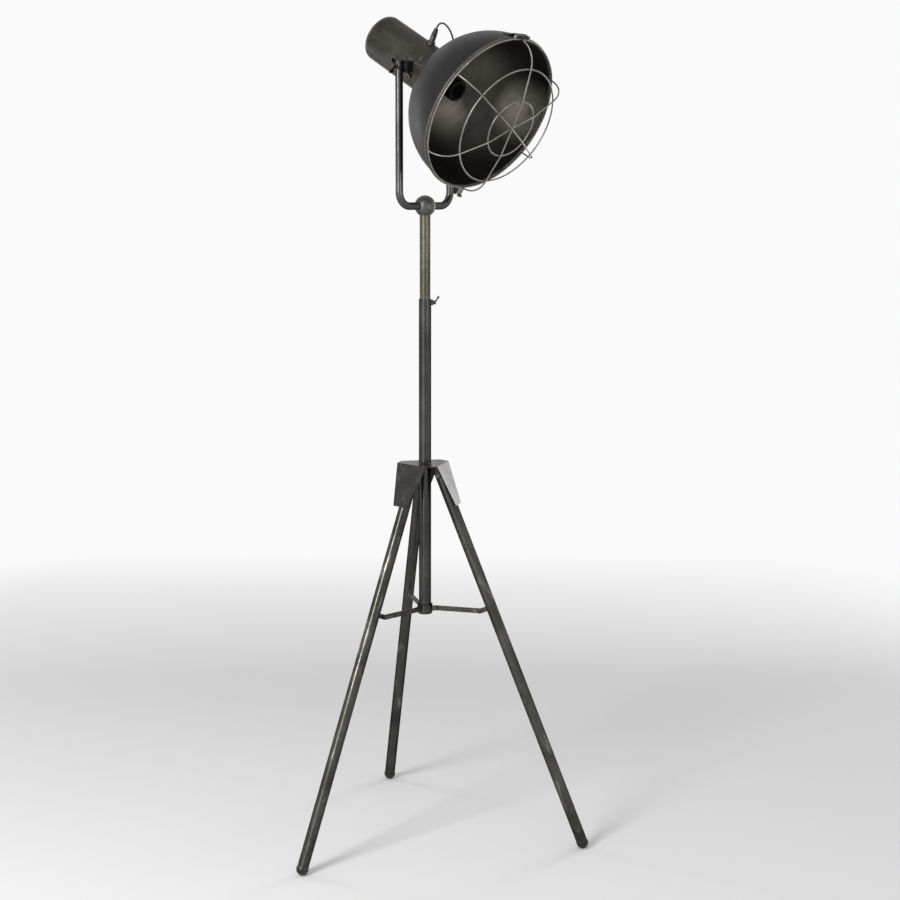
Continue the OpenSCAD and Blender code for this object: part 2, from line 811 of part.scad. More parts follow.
// Round ring pressed over the dome's edge
module rim_bead() {
    color(worn_iron) in_head() translate([0, 0, rim_a]) rotate_extrude($fn = 128) difference() {
        translate([bead_ring_r, 0]) circle(r = bead_r, $fn = 32);
        translate([dome_in - fit_gap, -bead_r - over])
            square([dome_wall + 2 * fit_gap, bead_r + over + fit_gap]);
    }
}

module reflector_screws() {
    head_a = rim_a - sqrt(pow(dome_in, 2) - pow(reflector_screw_r + 3, 2)) + fit_gap;
    color(worn_iron) in_head() for (a = reflector_screw_turns) rotate([0, 0, a])
        translate([reflector_screw_r, 0, 0]) {
            translate([0, 0, pilot_a + seat_gap])
                cylinder(r = reflector_shank_r, h = head_a - pilot_a - seat_gap + eps);
            translate([0, 0, head_a]) cylinder(r1 = 3, r2 = 2.2, h = 1.8);
        }
}

// Body of the lamp holder: its nipple through the bracket, and a plug inside the skirt
module lamp_holder() {
    back = bracket_a + bracket_t + fit_gap;
    body = socket_a - holder_plug - fit_gap;
    nipple = bracket_t + 8;
    color(bakelite) in_head() rotate_extrude() difference() {
        union() {
            translate([0, back - nipple]) square([nipple_r, nipple + over]);
            translate([0, back]) square([holder_neck_r, body - back]);
            translate([0, back + 4]) square([holder_d / 2 - 3, body - back - 4]);
            translate([0, back]) square([holder_bore_r - fit_gap, socket_a - back]);
        }
        translate([0, 0]) square([contact_r, holder_front]);
    }
}

// Round skirt screwed on the holder's body, with a rounded front edge
module holder_skirt() {
    r = holder_d / 2;
    edge = 2;
    back = socket_a - holder_plug;
    color(bakelite) in_head() rotate_extrude() difference() {
        union() {
            translate([0, back]) square([r - 1, holder_front - back - edge]);
            translate([0, holder_front - 26]) square([r, 26 - edge]);
            translate([0, holder_front - 26]) square([r - edge, 26]);
            translate([r - edge, holder_front - edge]) circle(r = edge, $fn = 32);
        }
        translate([0, back - over]) square([holder_bore_r, socket_len + holder_plug + 2 * over]);
    }
}

module holder_nut() {
    color(brass) in_head() translate([0, 0, bracket_a - fit_gap - 3]) difference() {
        cylinder(r = 9, h = 3, $fn = 6);
        translate([0, 0, -over]) cylinder(r = nipple_r + fit_gap, h = 3 + 2 * over);
    }
}

module screw_shell() {
    color(brass) in_head() translate([0, 0, holder_front - 6 - shell_len])
        tube(shell_r, shell_bore / 2, shell_len);
}

module centre_contact() {
    color(brass) in_head() {
        translate([0, 0, socket_a - 6]) cylinder(r = contact_r - fit_gap, h = 6 + eps);
        translate([0, 0, socket_a]) cylinder(r1 = 5, r2 = 3, h = 1.6);
    }
}

module gland_axis() {
    in_head() translate([0, 0, -gland_a]) rotate([-90, 0, 0]) children();
}

// Gland body: foot on the housing and a stem through its wall
module cable_gland() {
    wall = housing_r + fit_gap;
    color(iron) difference() {
        gland_axis() {
            translate([0, 0, housing_in - 6]) cylinder(r = gland_stem_r, h = 8);
            translate([0, 0, housing_r - 1]) cylinder(r = gland_foot_r, h = gland_foot_h + 1);
            translate([0, 0, housing_r]) cylinder(r = gland_body_r, h = gland_h * 0.55);
        }
        in_head() difference() {
            translate([0, 0, -gland_a - housing_r]) cylinder(r = wall, h = housing_d, $fn = 128);
            gland_bore(gland_stem_r);
        }
        gland_axis() cylinder(r = lead_d / 2 + seat_gap, h = housing_r + gland_h);
    }
}

// Tapered grip above the gland, ribbed where it bends
module strain_relief() {
    low = housing_r + gland_h * 0.55 + fit_gap;
    rise = gland_tip_y - low;
    ribs = 4;
    color(rubber) gland_axis() difference() {
        union() {
            translate([0, 0, low]) cylinder(r1 = gland_body_r - 0.6, r2 = gland_tip_r - 0.8, h = rise);
            for (k = [0 : ribs - 1]) translate([0, 0, low + rise * k / ribs])
                cylinder(r = gland_body_r - k * 0.4, h = rise / ribs * 0.55);
        }
        cylinder(r = lead_d / 2 + seat_gap, h = gland_tip_y + over);
    }
}

module gland_nut() {
    color(steel) difference() {
        gland_axis() translate([0, 0, housing_in - 5]) cylinder(r = gland_stem_r + 3, h = 5, $fn = 6);
        gland_axis() cylinder(r = gland_stem_r + fit_gap, h = housing_r);
        in_head() translate([0, 0, -gland_a - housing_r])
            tube(housing_d, housing_in - fit_gap, housing_d, $fn = 128);
    }
}

function unit(v) = v / norm(v);
function tangent(p, i) = unit(p[min(i + 1, len(p) - 1)] - p[max(i - 1, 0)]);
function ring(p, i, r, n, away) =
    let(t = tangent(p, i), u = unit(cross(t, away)), v = cross(t, u))
    [for (k = [0 : n - 1]) p[i] + r * (cos(360 * k / n) * u + sin(360 * k / n) * v)];

// A round bar along the points, which nowhere runs in the direction away
module sweep(p, r, n, away) {
    rows = len(p);
    points = [for (i = [0 : rows - 1]) each ring(p, i, r, n, away)];
    skin = [for (i = [0 : rows - 2], k = [0 : n - 1])
        let(a = i * n + k, b = i * n + (k + 1) % n) each [[a, b, a + n], [b, b + n, a + n]]];
    near_end = [for (k = [1 : n - 2]) [0, k + 1, k]];
    last = (rows - 1) * n;
    far_end = [for (k = [1 : n - 2]) [last, last + k, last + k + 1]];
    polyhedron(points, concat(skin, near_end, far_end));
}

module lead() {
    color(rubber) sweep(lead_points, lead_d / 2, lead_sides, [1, 0.2, 0]);
}

// ---- cage ----

module pad(turn) {
    rotate([0, 0, turn - pad_turn]) rotate_extrude(angle = 2 * pad_turn, $fn = 128)
        intersection() {
            difference() {
                circle(r = dome_r + fit_gap + pad_t, $fn = 128);
                circle(r = dome_r + fit_gap, $fn = 128);
            }
            translate([dome_r / 2, -pad_back]) square([dome_r, pad_back - pad_front]);
        }
}

module rivet_places() {
    for (turn = [90, 270], s = sides)
        on_dome(turn + s * pad_rivet_turn, asin(pad_rivet_back / dome_r)) children();
}

module pad_rivet_hole() {
    x_rod(pad_rivet_r + fit_gap, dome_in - 4, dome_r + 4);
}

// Hinge leaf on the top of the rim, rolled round the cage's pin
module cage_hinge_barrel() {
    half = barrel_len / 2;
    top = hinge_pin_y + barrel_r;
    color(iron) in_head() difference() {
        translate([0, 0, rim_a]) {
            pad(90);
            translate([-half, hinge_pin_y, hoop_a]) x_rod(barrel_r, 0, barrel_len);
            translate([-half, 0, 0]) rotate([90, 0, 90]) linear_extrude(barrel_len)
                polygon([[top, hoop_a], [top, -5], [dome_r + 1, -pad_front - 1],
                    [dome_r - 3, -pad_front - 1], [dome_r - 3, -pad_front + 0.6],
                    [dome_r + 0.6, -pad_front + 0.6],
                    [top - barrel_wall, -4.4], [top - barrel_wall, hoop_a]]);
        }
        translate([0, hinge_pin_y, rim_a + hoop_a])
            x_rod(wire_r + fit_gap, -barrel_len, barrel_len);
        translate([0, 0, rim_a]) sphere(r = dome_r + fit_gap, $fn = 128);
        rivet_places() pad_rivet_hole();
    }
}

module dome_rivets() {
    out = dome_r + fit_gap + pad_t;
    color(worn_iron) in_head() rivet_places() {
        x_rod(pad_rivet_r, dome_in - pad_rivet_head_h / 2, out + pad_rivet_head_h / 2);
        x_rod(pad_rivet_head_r, out + fit_gap, out + pad_rivet_head_h);
        x_rod(pad_rivet_tail_r, dome_in - pad_rivet_head_h, dome_in - seat_gap);
    }
}

// Slope of the spokes between the rings
function spoke_slope() = atan((small_ring_a - large_ring_a) / (large_ring_r - small_ring_r));

// Points along half a wire, from the hoop over both rings, in X and Z
function half_wire() =
    let(dx = hoop_r - large_ring_r, dz = large_ring_a - spoke_root_a, slope = spoke_slope(),
        bend_r = (dx * dx + dz * dz) / (2 * (dz * cos(slope) - dx * sin(slope))),
        centre = [large_ring_r - bend_r * sin(slope), 0, large_ring_a - bend_r * cos(slope)],
        start = atan2(spoke_root_a - centre[2], hoop_r - centre[0]))
    concat([for (k = [0 : wire_steps])
        let(a = start + (90 - slope - start) * k / wire_steps)
        centre + bend_r * [cos(a), 0, sin(a)]], [[small_ring_r, 0, small_ring_a]]);

module cross_wire(centre_a) {
    half = half_wire();
    last = len(half) - 1;
    sweep(concat(half, [[0, 0, centre_a]],
        [for (k = [last : -1 : 0]) [-half[k][0], 0, half[k][2]]]),
        wire_r, wire_sides, [0, 1, 0]);
}

module hinge_lug(x0) {
    y = sqrt(pow(hoop_r, 2) - pow(lug_x + lug_t / 2, 2));
    translate([x0, y, hoop_a]) rotate([90, 0, 90]) linear_extrude(lug_t) {
        translate([0, eps - wire_r]) square([hinge_pin_y - y, wire_d - 2 * eps]);
        translate([hinge_pin_y - y, 0]) circle(r = wire_r + 1);
    }
}

// Triangular tab, drawn from the rim outward along Y
module lock_plate(root, tip, w, a) {
    translate([0, 0, a]) linear_extrude(lock_t) {
        polygon([[-w / 2, root], [w / 2, root], [lock_w / 2, tip], [-lock_w / 2, tip]]);
        translate([0, tip]) circle(d = lock_w);
    }
}

// Hoop of the cage with its hinge pin and its lock tab
module cage_hoop() {
    color(wire_grey) in_head() difference() {
        translate([0, 0, rim_a]) {
            translate([0, 0, hoop_a]) torus(hoop_r, wire_r, $fn = 128);
            translate([0, hinge_pin_y, hoop_a])
                x_rod(wire_r, -lug_x - lug_t, lug_x + lug_t);
            hinge_lug(lug_x);
            hinge_lug(-lug_x - lug_t);
            rotate([0, 0, 180]) lock_plate(hoop_r - 0.5, lock_y, 16, hoop_a - lock_t / 2);
        }
        translate([0, -lock_y, rim_a]) cylinder(r = lock_screw_r + fit_gap, h = 20);
    }
}

// A ring welded behind the spokes
module cage_ring(ring_r, spoke_a) {
    back = (wire_d - wire_bite) / cos(spoke_slope());
    color(wire_grey) in_head() translate([0, 0, rim_a + spoke_a - back])
        torus(ring_r, wire_r, $fn = 128);
}

module cage_large_ring() {
    cage_ring(large_ring_r, large_ring_a);
}

module cage_small_ring() {
    cage_ring(small_ring_r, small_ring_a);
}

// Three wires from side to side, welded on each other where they cross in the middle
module cage_spokes() {
    color(wire_grey) in_head() translate([0, 0, rim_a]) for (k = legs)
        rotate([0, 0, spoke_turns[k]]) cross_wire(small_ring_a + 1 + (k - 1) * spoke_rise);
}

// Bracket below the rim that takes the lock screw
module lock_bracket() {
    color(iron) in_head() difference() {
        translate([0, 0, rim_a]) {
            pad(270);
            rotate([0, 0, 180])
                lock_plate(dome_r - 4, lock_y, lock_root_w, lock_bracket_a - lock_t);
            rotate([90, 0, 270]) translate([dome_r - 3, -pad_front - 1, -lock_w])
                linear_extrude(2 * lock_w)
                    square([5, pad_front + 1 + lock_bracket_a]);
        }
        translate([0, 0, rim_a]) sphere(r = dome_r + fit_gap, $fn = 128);
        translate([0, -lock_y, rim_a - 20]) cylinder(r = lock_screw_r + lock_slack, h = 20);
        rivet_places() pad_rivet_hole();
    }
}

// Captive screw with a round knob
module lock_screw() {
    front = hoop_a + lock_t / 2 + fit_gap;
    back = lock_bracket_a - lock_t;
    color(worn_iron) in_head() translate([0, -lock_y, rim_a]) {
        translate([0, 0, back]) cylinder(r = lock_screw_r, h = front - back + 3);
        translate([0, 0, front]) cylinder(r = lock_screw_r + 0.8, h = 1);
        translate([0, 0, front + 4]) sphere(r = lock_knob_r);
    }
}

hub_bracket();
lower_mast();
clamp_boss();
mast_end_plug();
leg_hinge_bolts();
leg_hinge_nuts();
leg(0);  // leg_1
leg(1);  // leg_2
leg(2);  // leg_3
leg_tab(0);  // leg_tab_1
leg_tab(1);  // leg_tab_2
leg_tab(2);  // leg_tab_3
foot(0);  // foot_1
foot(1);  // foot_2
foot(2);  // foot_3
spreader_collar();
collar_rivets();
spreader_strip(0);  // spreader_strip_1
spreader_strip(1);  // spreader_strip_2
spreader_strip(2);  // spreader_strip_3
strip_rivet(0);  // strip_rivet_1
strip_rivet(1);  // strip_rivet_2
strip_rivet(2);  // strip_rivet_3
clamp_screw();
upper_mast();
knuckle_ball();
knuckle_screw();
yoke_tube();
yoke_cap();
lead_grommet();
wing_screw_left();
wing_screw_right();
pivot_washers();
lamp_housing();
pivot_blocks();
housing_end_cap();
holder_bracket();
side_screws();
reflector_dome();
reflector_screws();
rim_bead();
lamp_holder();
holder_skirt();
holder_nut();
screw_shell();
centre_contact();
cable_gland();
strain_relief();
gland_nut();
lead();
cage_hinge_barrel();
dome_rivets();
cage_hoop();
cage_large_ring();
cage_small_ring();
cage_spokes();
lock_bracket();
lock_screw();
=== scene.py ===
"""Looks of a tripod spotlight floor lamp with a caged dome. Metres, +Z up, the head faces -Y."""
import math

import bmesh
import bpy
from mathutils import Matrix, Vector


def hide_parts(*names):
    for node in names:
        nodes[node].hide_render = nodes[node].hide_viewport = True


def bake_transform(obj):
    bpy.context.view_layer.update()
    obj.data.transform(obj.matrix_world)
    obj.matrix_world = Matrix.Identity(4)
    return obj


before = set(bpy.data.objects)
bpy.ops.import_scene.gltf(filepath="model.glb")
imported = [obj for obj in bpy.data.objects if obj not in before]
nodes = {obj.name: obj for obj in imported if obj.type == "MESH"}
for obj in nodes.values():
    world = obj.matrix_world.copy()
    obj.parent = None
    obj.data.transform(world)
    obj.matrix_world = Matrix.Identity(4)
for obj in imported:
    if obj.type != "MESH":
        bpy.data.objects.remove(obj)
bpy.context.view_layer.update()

# ---- sizes of the part that the looks are placed by ----
PIVOT = Vector((0, 0, 1.566))                           # the tilt axis crosses the head's axis here
TILT = math.radians(28.8)                               # of the head at rest, below level
AXIS = Vector((0, -math.cos(TILT), -math.sin(TILT)))    # out of the dome's mouth
UP = Vector((0, -math.sin(TILT), math.cos(TILT)))
ACROSS = Vector((1, 0, 0))
RIM = 0.194                                             # from the pivot to the rim's plane
DOME_R = 0.154                                          # outside of the dome
DOME_WALL = 0.0012
HOUSING_BACK = 0.130                                    # from the pivot to the housing's end
LEGS = [math.radians(58 + 120 * i) for i in range(3)]   # the legs' directions from above
SPLAY = math.radians(22)                                # of a leg from upright

# Level directions of the photo's view, for the lamps and the floor
VIEW_RIGHT = Vector((0.6952, -0.7188, 0))
VIEW_AWAY = Vector((0.7188, 0.6952, 0))

# ---- the photo's camera ----
LENS_MM = 68
SENSOR_MM = 36
SHIFT_X = 25 / 900                                      # pixels over the picture's width
CAMERA_AT = (-2.449, -2.369, 1.326)
CAMERA_DOWN = 8.638                                     # degrees below level
CAMERA_TURN = -45.95                                    # degrees about Z

# ---- the lead ----
LEAD_RADIUS = 0.0018
LEAD_STEPS = 3                                          # rings for each point below
LEAD_MM = [
    (0, -29, 1635.4), (0, -32.5, 1641.7), (2, -34.2, 1646), (7, -34.6, 1649),
    (13.5, -33.8, 1650), (20.5, -32.3, 1649.6), (27.5, -30.5, 1647.6),
    (34.5, -28.8, 1644.2), (41.5, -27.2, 1639.4), (48, -25.4, 1633.4),
    (54, -23.2, 1626.4), (59.5, -20.4, 1618.8), (64, -16.8, 1610.8),
    (67.6, -12.4, 1602.6), (70.2, -7.6, 1594.8), (71.6, -3.2, 1588),
    (72, -0.6, 1582), (72, 0, 1576),
]

# ---- stage ----
BACKDROP = (0.955, 0.955, 0.958, 1)
WORLD_FILL = 0.6                                        # the world's strength on rough surfaces
FLOOR_RADIUS = 60
FLOOR_Z = -0.0002                                       # just under the feet's flats
# The paper darkens along the view: painted shade in place of the lamps' fall-off
PAPER_NEAR = (0.745, 0.745, 0.745)
PAPER_FAR = (0.63, 0.63, 0.63)
PAPER_TURNS = (-0.3, 0.95)                              # painted shade, from near to far along the view
FADE_AWAY = (1.15, 2.75)                                # paper to backdrop, along the view
FADE_AROUND = (1.7, 3.0)                                # the same, outwards from the mast

# Each lamp's name, its place as (right, away, up) in the photo's view, the height of its
# target on the mast's line, its size, its watts and its spread in degrees
LAMPS = [
    ("key", (-2.0, -2.4, 2.3), 0.9, (0.9, 1.8), 89, 180),
    ("mouth", (2.1, -2.3, 1.1), 1.62, (0.5, 0.4), 0.35, 24),
    ("band", (-1.5, -2.6, 0.75), 0.75, (0.9, 1.4), 9, 180),
    ("rim", (2.5, 2.7, 1.3), 0.9, (1.2, 1.8), 34, 180),
    ("edge", (-2.6, 1.6, 1.2), 0.7, (0.5, 1.8), 16, 180),
]


def in_head(x, y, z):
    """A point at rest, from its place across, up and along the head's axis."""
    return PIVOT + ACROSS * x + UP * y + AXIS * z


def make_camera():
    data = bpy.data.cameras.new("camera")
    data.lens = LENS_MM
    data.sensor_width = SENSOR_MM
    data.shift_x = SHIFT_X
    cam = bpy.data.objects.new("camera", data)
    cam.location = CAMERA_AT
    cam.rotation_euler = (math.radians(90 - CAMERA_DOWN), 0, math.radians(CAMERA_TURN))
    bpy.context.scene.collection.objects.link(cam)
    bpy.context.scene.camera = cam


make_camera()


# ---- shapes ----
def add(name, bm, smooth=True):
    mesh = bpy.data.meshes.new(name)
    bm.normal_update()
    bm.to_mesh(mesh)
    bm.free()
    for p in mesh.polygons:
        p.use_smooth = smooth
    obj = bpy.data.objects.new(name, mesh)
    bpy.context.scene.collection.objects.link(obj)
    return obj


def sweep(name, points, radius, sides=12):
    """A closed round bar along the points."""
    bm = bmesh.new()
    rings = []
    for i, p in enumerate(points):
        t = (points[min(i + 1, len(points) - 1)] - points[max(i - 1, 0)]).normalized()
        u = t.cross(Vector((1, 0.2, 0))).normalized()
        v = t.cross(u)
        ring = []
        for k in range(sides):
            a = 2 * math.pi * k / sides
            ring.append(bm.verts.new(p + (u * math.cos(a) + v * math.sin(a)) * radius))
        rings.append(ring)
    for a, b in zip(rings, rings[1:]):
        for k in range(sides):
            bm.faces.new((a[k], a[(k + 1) % sides], b[(k + 1) % sides], b[k]))
    bm.faces.new(list(reversed(rings[0])))
    bm.faces.new(rings[-1])
    bmesh.ops.recalc_face_normals(bm, faces=bm.faces)
    return add(name, bm)


def smooth_path(points, steps):
    """Catmull-Rom points through the given ones."""
    p = [points[0] * 2 - points[1]] + points + [points[-1] * 2 - points[-2]]
    out = []
    for i in range(1, len(p) - 2):
        for s in range(steps):
            t = s / steps
            a, b, c, d = p[i - 1], p[i], p[i + 1], p[i + 2]
            out.append(0.5 * (2 * b + (c - a) * t + (2 * a - 5 * b + 4 * c - d) * t * t
                              + (3 * b - a - 3 * c + d) * t * t * t))
    out.append(points[-1])
    return out


# The lead, from the gland on the housing to the far yoke arm
lead_path = smooth_path([Vector(p) / 1000 for p in LEAD_MM], LEAD_STEPS)
lead = sweep("lead_cord", lead_path, LEAD_RADIUS)
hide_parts("lead")
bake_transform(lead)


# ---- materials ----
class Graph:
    """A small helper round a material's node tree. It works in metres of the object."""

    def __init__(self, name):
        self.mat = bpy.data.materials.new(name)
        self.mat.use_nodes = True
        self.tree = self.mat.node_tree
        self.tree.nodes.clear()
        self.out = self.new("ShaderNodeOutputMaterial")
        self.bsdf = self.new("ShaderNodeBsdfPrincipled")
        self.link(self.bsdf.outputs[0], self.out.inputs[0])
        self.coord = self.new("ShaderNodeTexCoord").outputs["Object"]

    def new(self, kind, **props):
        n = self.tree.nodes.new(kind)
        for k, v in props.items():
            setattr(n, k, v)
        return n

    def link(self, a, b):
        self.tree.links.new(a, b)

    def put(self, socket, value):
        """Link a socket into this one, or set a constant on it."""
        if isinstance(value, bpy.types.NodeSocket):
            self.link(value, socket)
        else:
            socket.default_value = value

    def mapping(self, vector, rotation=(0, 0, 0), scale=(1, 1, 1)):
        n = self.new("ShaderNodeMapping")
        self.link(vector, n.inputs["Vector"])
        n.inputs["Rotation"].default_value = rotation
        n.inputs["Scale"].default_value = scale
        return n.outputs[0]

    def noise(self, vector, scale, detail, rough, distortion=0.0):
        n = self.new("ShaderNodeTexNoise")
        self.link(vector, n.inputs["Vector"])
        n.inputs["Scale"].default_value = scale
        n.inputs["Detail"].default_value = detail
        n.inputs["Roughness"].default_value = rough
        n.inputs["Distortion"].default_value = distortion
        return n.outputs["Fac"]

    def bands(self, distance, scale, detail):
        """Noise along one distance only, so that it stands in bands across it."""
        n = self.new("ShaderNodeTexNoise", noise_dimensions="1D")
        self.link(distance, n.inputs["W"])
        n.inputs["Scale"].default_value = scale
        n.inputs["Detail"].default_value = detail
        return n.outputs["Fac"]

    def ramp(self, fac, low, high, a=0.0, b=1.0):
        """A value from low to high turned into one from a to b, and held there outside."""
        n = self.new("ShaderNodeMapRange", clamp=True)
        self.link(fac, n.inputs["Value"])
        n.inputs["From Min"].default_value = low
        n.inputs["From Max"].default_value = high
        n.inputs["To Min"].default_value = a
        n.inputs["To Max"].default_value = b
        return n.outputs[0]

    def math(self, op, a, b):
        n = self.new("ShaderNodeMath", operation=op)
        self.put(n.inputs[0], a)
        self.put(n.inputs[1], b)
        return n.outputs[0]

    def times(self, a, b):
        return self.math("MULTIPLY", a, b)

    def most(self, a, b):
        return self.math("MAXIMUM", a, b)

    def mix(self, fac, a, b):
        n = self.new("ShaderNodeMix", data_type="RGBA")
        self.put(n.inputs["Factor"], fac)
        self.put(n.inputs["A"], a if isinstance(a, bpy.types.NodeSocket) else (*a, 1))
        self.put(n.inputs["B"], b if isinstance(b, bpy.types.NodeSocket) else (*b, 1))
        return n.outputs["Result"]

    def along(self, origin, axis):
        """How far a point lies along an axis from an origin."""
        sub = self.new("ShaderNodeVectorMath", operation="SUBTRACT")
        self.link(self.coord, sub.inputs[0])
        sub.inputs[1].default_value = origin
        dot = self.new("ShaderNodeVectorMath", operation="DOT_PRODUCT")
        self.link(sub.outputs[0], dot.inputs[0])
        dot.inputs[1].default_value = axis
        return dot.outputs["Value"]

    def distance(self, point):
        n = self.new("ShaderNodeVectorMath", operation="DISTANCE")
        self.link(self.coord, n.inputs[0])
        n.inputs[1].default_value = point
        return n.outputs["Value"]

    def bump(self, height, strength, depth, normal=None):
        n = self.new("ShaderNodeBump")
        n.inputs["Strength"].default_value = strength
        n.inputs["Distance"].default_value = depth
        self.link(height, n.inputs["Height"])
        if normal is not None:
            self.link(normal, n.inputs["Normal"])
        return n.outputs[0]


def to_axis(direction):
    """Mapping angles that lay a direction along Z, so that a stretch in Z follows it."""
    turn = Vector((0, 0, 1)).rotation_difference(Vector(direction).normalized())
    return tuple(turn.inverted().to_euler())


def metal(name, dark, light, wear, *, metallic, amount, patch, rough=(0.36, 0.52),
          direction=(0, 0, 1), edge=1.0, relief=1.0, extra=None):
    """Blackened metal: mottled patina, brushing in one direction, rubbed places and grain.

    dark and light are the patina's two colours and wear the rubbed one. amount is how
    much is rubbed, patch the patina's scale, edge the reflection at a grazing angle,
    relief the strength of all bumps, and extra a function that adds more rubbing.
    """
    g = Graph(name)
    lined = g.mapping(g.coord, rotation=to_axis(direction))
    blotch = g.noise(lined, patch, detail=5, rough=0.6, distortion=0.4)
    grain = g.noise(lined, 420, detail=3, rough=0.6)
    streak = g.noise(g.mapping(lined, scale=(1, 1, 0.06)), 260, detail=4, rough=0.7)
    rub = g.noise(g.mapping(lined, scale=(1, 1, 0.35)), patch * 3.1, detail=6, rough=0.65,
                  distortion=0.8)
    tone = g.math("ADD", g.ramp(blotch, 0.32, 0.70, 0, 0.75), g.ramp(grain, 0.3, 0.75, 0, 0.35))
    base = g.mix(tone, dark, light)
    rubbed = g.times(g.ramp(rub, 0.60 - 0.1 * amount, 0.74), g.ramp(streak, 0.42, 0.62))
    if extra is not None:
        rubbed = g.most(rubbed, extra(g, grain))
    rubbed = g.math("MINIMUM", rubbed, 1.0)
    g.link(g.mix(g.times(rubbed, 0.8), base, wear), g.bsdf.inputs["Base Color"])
    g.link(g.ramp(rubbed, 0, 1, metallic, min(1.0, metallic + 0.35)), g.bsdf.inputs["Metallic"])
    gloss = g.math("ADD", g.ramp(streak, 0.3, 0.7, rough[0], rough[1]),
                   g.ramp(blotch, 0.3, 0.7, -0.05, 0.06))
    g.link(g.math("SUBTRACT", gloss, g.times(rubbed, 0.1)), g.bsdf.inputs["Roughness"])
    g.bsdf.inputs["Specular IOR Level"].default_value = 0.5 * max(edge, 0.3)
    g.bsdf.inputs["Specular Tint"].default_value = (edge, edge, edge, 1)
    fine = g.bump(streak, 0.22 * relief, 0.0002)
    pits = g.bump(grain, 0.18 * relief, 0.00025, fine)
    g.link(g.bump(rub, 0.12 * relief, 0.0006, pits), g.bsdf.inputs["Normal"])
    return g.mat


def plain(name, colour, rough, metallic, bump=0.15, scale=300, shine=0.5):
    """A simpler finish with fine grain and uneven gloss."""
    vary = 0.15
    g = Graph(name)
    grain = g.noise(g.coord, scale, detail=4, rough=0.6)
    cloud = g.noise(g.coord, 30, detail=4, rough=0.6)
    low = tuple(c * (1 - vary) for c in colour)
    high = tuple(min(1, c * (1 + vary)) for c in colour)
    g.link(g.mix(g.ramp(cloud, 0.3, 0.7), low, high), g.bsdf.inputs["Base Color"])
    g.bsdf.inputs["Metallic"].default_value = metallic
    g.bsdf.inputs["Specular IOR Level"].default_value = shine
    g.link(g.ramp(cloud, 0.3, 0.7, rough - 0.07, rough + 0.07), g.bsdf.inputs["Roughness"])
    g.link(g.bump(grain, bump, 0.0002), g.bsdf.inputs["Normal"])
    return g.mat


def dome_material():
    """Satin black outside, and inside a spun surface with rubbed bronze and painted sheen."""
    g = Graph("dome_shell")
    centre = in_head(0, 0, RIM)
    # The change from inside to outside lies within the sheet's thickness
    inside = g.ramp(g.distance(centre), DOME_R - DOME_WALL * 0.65, DOME_R - DOME_WALL * 0.45, 1, 0)
    depth = g.along(centre, AXIS)
    blotch = g.noise(g.coord, 9, detail=3, rough=0.5)
    cloud = g.noise(g.coord, 26, detail=5, rough=0.6, distortion=0.2)
    grain = g.noise(g.coord, 480, detail=3, rough=0.6)
    spun = g.times(g.ramp(g.bands(depth, 900, detail=5), 0.3, 0.7),
                   g.ramp(g.bands(depth, 90, detail=3), 0.2, 0.6))

    # Outside: satin black with a fine paler grain
    outer = g.mix(g.ramp(cloud, 0.3, 0.75), (0.005, 0.0051, 0.0054), (0.012, 0.0118, 0.0115))
    outer = g.mix(g.ramp(grain, 0.55, 0.8, 0, 0.3), outer, (0.036, 0.034, 0.031))

    # Inside: dark at the bottom, painted sheen at the left and top, palest at the right by the rim
    bottom = g.ramp(g.distance(in_head(-0.002, -0.136, 0.124)), 0.03, 0.11)
    left = g.ramp(g.distance(in_head(0.020, -0.075, 0.062)), 0.072, 0.012)
    top = g.ramp(g.distance(in_head(0.067, 0.053, 0.067)), 0.085, 0.015, 0, 0.6)
    side = g.ramp(g.distance(in_head(0.150, -0.010, 0.164)), 0.075, 0.02)
    # Painted sheen at the left and the top, joined with random rubbed blotches of real wear
    wear_and_sheen = g.most(g.most(left, top), g.ramp(blotch, 0.36, 0.72, 0.05, 0.45))
    bare_and_sheen = g.times(g.times(wear_and_sheen, bottom), g.ramp(spun, 0.0, 0.8, 0.7, 1.0))
    inner = g.mix(bare_and_sheen, (0.020, 0.0195, 0.0175), (0.195, 0.175, 0.145))
    inner = g.mix(g.ramp(cloud, 0.5, 0.75, 0, 0.3), inner, (0.036, 0.032, 0.026))
    # The palest painted sheen, at the right by the rim
    inner = g.mix(g.times(side, g.ramp(cloud, 0.3, 0.6, 0.5, 1.0)), inner, (0.36, 0.33, 0.28))

    # The rim is rubbed to bare metal in places
    rim = g.ramp(depth, -0.004, -0.001)
    rub = g.times(rim, g.ramp(cloud, 0.42, 0.62))
    colour = g.mix(g.times(rub, 0.7), g.mix(inside, outer, inner), (0.24, 0.215, 0.18))
    g.link(colour, g.bsdf.inputs["Base Color"])
    g.link(g.most(g.times(inside, 0.9), g.ramp(rub, 0, 1, 0.3, 0.85)), g.bsdf.inputs["Metallic"])
    g.bsdf.inputs["Specular IOR Level"].default_value = 0.24
    rough_in = g.times(inside, g.ramp(spun, 0.0, 0.9, 0.50, 0.36))
    rough_out = g.times(g.math("SUBTRACT", 1.0, inside), g.ramp(cloud, 0.3, 0.7, 0.40, 0.52))
    g.link(g.math("ADD", rough_in, rough_out), g.bsdf.inputs["Roughness"])
    ridges = g.bump(g.times(spun, inside), 0.30, 0.0003)
    g.link(g.bump(grain, 0.12, 0.0002, ridges), g.bsdf.inputs["Normal"])
    return g.mat


def housing_extra(g, grain):
    """Bright rubbing at the housing's back edge."""
    depth = g.along(PIVOT, AXIS)
    edge = g.ramp(depth, -HOUSING_BACK + 0.0015, -HOUSING_BACK + 0.006, 0.9, 0)
    return g.times(edge, g.ramp(grain, 0.40, 0.62))


def foot_extra(g, grain):
    """Rubbing all over a foot, and most where it stands on the floor."""
    height = g.along((0, 0, 0), (0, 0, 1))
    return g.times(g.ramp(height, 0.003, 0.010, 0.6, 0.12), g.ramp(grain, 0.38, 0.62))


